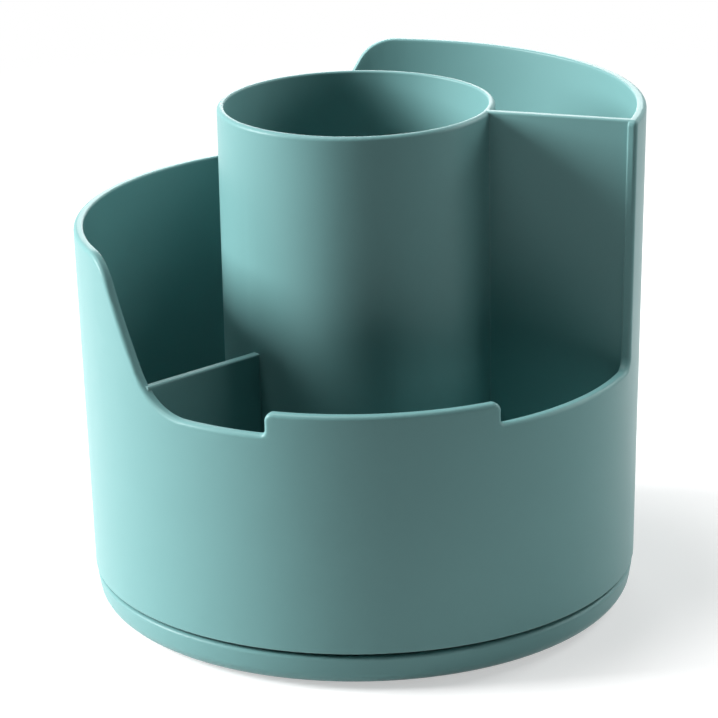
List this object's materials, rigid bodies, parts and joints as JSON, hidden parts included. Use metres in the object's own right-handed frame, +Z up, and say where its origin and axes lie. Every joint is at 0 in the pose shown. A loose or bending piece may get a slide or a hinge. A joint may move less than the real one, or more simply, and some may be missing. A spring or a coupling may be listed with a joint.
{
  "type": "rotating pen holder",
  "caption": "Round rotating pen holder: a tapered drum with a stepped, swept rim, a tall central cup and radial dividers, turning on a low round base.",
  "frame": {"origin": "on the axis of rotation, on the surface that the feet stand on", "axes": "+Z up along the axis of rotation; -Y towards the front, where the low rim with its raised middle is; +X to the right, where the tall wall ends"},
  "size_m": [0.1395, 0.1389, 0.1248],
  "materials": {
    "drum_plastic": "satin, fine moulded texture",
    "base_plastic": "satin, fine moulded texture",
    "bearing_steel": "pressed, zinc plated",
    "ball_steel": "polished",
    "cage_nylon": "natural nylon",
    "bush_acetal": "natural acetal, smooth",
    "fastener_steel": "zinc plated",
    "foot_rubber": "matt"
  },
  "bodies": {
    "base": {"base": "base_plastic", "lower_race": "bearing_steel", "pivot_bush": "bush_acetal", "slip_washer": "bush_acetal", "screw_cap": "base_plastic", "foot_1": "foot_rubber", "foot_2": "foot_rubber", "foot_3": "foot_rubber", "foot_4": "foot_rubber"},
    "drum": {"drum": "drum_plastic", "upper_race": "bearing_steel", "pivot_washer": "fastener_steel", "pivot_screw": "fastener_steel"},
    "ball_cage": {"ball_cage": "cage_nylon"},
    "ball_01": {"ball_01": "ball_steel"},
    "ball_02": {"ball_02": "ball_steel"},
    "ball_03": {"ball_03": "ball_steel"},
    "ball_04": {"ball_04": "ball_steel"},
    "ball_05": {"ball_05": "ball_steel"},
    "ball_06": {"ball_06": "ball_steel"},
    "ball_07": {"ball_07": "ball_steel"},
    "ball_08": {"ball_08": "ball_steel"},
    "ball_09": {"ball_09": "ball_steel"},
    "ball_10": {"ball_10": "ball_steel"}
  },
  "joints": [
    {"name": "drum_spin", "type": "hinge", "parent": "base", "child": "drum", "pos_m": [0, 0, 0.00746], "axis": [0, 0, 1], "continuous": true},
    {"name": "cage_spin", "type": "hinge", "parent": "base", "child": "ball_cage", "pos_m": [0, 0, 0.00693], "axis": [0, 0, 1], "continuous": true},
    {"name": "ball_01_roll", "type": "hinge", "parent": "ball_cage", "child": "ball_01", "pos_m": [0.04, 0, 0.00693], "axis": [1, 0, 0], "continuous": true},
    {"name": "ball_02_roll", "type": "hinge", "parent": "ball_cage", "child": "ball_02", "pos_m": [0.03236, 0.02351, 0.00693], "axis": [0.809, 0.5878, 0], "continuous": true},
    {"name": "ball_03_roll", "type": "hinge", "parent": "ball_cage", "child": "ball_03", "pos_m": [0.01236, 0.03804, 0.00693], "axis": [0.309, 0.9511, 0], "continuous": true},
    {"name": "ball_04_roll", "type": "hinge", "parent": "ball_cage", "child": "ball_04", "pos_m": [-0.01236, 0.03804, 0.00693], "axis": [-0.309, 0.9511, 0], "continuous": true},
    {"name": "ball_05_roll", "type": "hinge", "parent": "ball_cage", "child": "ball_05", "pos_m": [-0.03236, 0.02351, 0.00693], "axis": [-0.809, 0.5878, 0], "continuous": true},
    {"name": "ball_06_roll", "type": "hinge", "parent": "ball_cage", "child": "ball_06", "pos_m": [-0.04, 0, 0.00693], "axis": [-1, 0, 0], "continuous": true},
    {"name": "ball_07_roll", "type": "hinge", "parent": "ball_cage", "child": "ball_07", "pos_m": [-0.03236, -0.02351, 0.00693], "axis": [-0.809, -0.5878, 0], "continuous": true},
    {"name": "ball_08_roll", "type": "hinge", "parent": "ball_cage", "child": "ball_08", "pos_m": [-0.01236, -0.03804, 0.00693], "axis": [-0.309, -0.9511, 0], "continuous": true},
    {"name": "ball_09_roll", "type": "hinge", "parent": "ball_cage", "child": "ball_09", "pos_m": [0.01236, -0.03804, 0.00693], "axis": [0.309, -0.9511, 0], "continuous": true},
    {"name": "ball_10_roll", "type": "hinge", "parent": "ball_cage", "child": "ball_10", "pos_m": [0.03236, -0.02351, 0.00693], "axis": [0.809, -0.5878, 0], "continuous": true}
  ],
  "couplings": [
    {"joint": "cage_spin", "follows": "drum_spin", "ratio": 0.5},
    {"joint": "ball_01_roll", "follows": "drum_spin", "ratio": -6.6667},
    {"joint": "ball_02_roll", "follows": "drum_spin", "ratio": -6.6667},
    {"joint": "ball_03_roll", "follows": "drum_spin", "ratio": -6.6667},
    {"joint": "ball_04_roll", "follows": "drum_spin", "ratio": -6.6667},
    {"joint": "ball_05_roll", "follows": "drum_spin", "ratio": -6.6667},
    {"joint": "ball_06_roll", "follows": "drum_spin", "ratio": -6.6667},
    {"joint": "ball_07_roll", "follows": "drum_spin", "ratio": -6.6667},
    {"joint": "ball_08_roll", "follows": "drum_spin", "ratio": -6.6667},
    {"joint": "ball_09_roll", "follows": "drum_spin", "ratio": -6.6667},
    {"joint": "ball_10_roll", "follows": "drum_spin", "ratio": -6.6667}
  ]
}
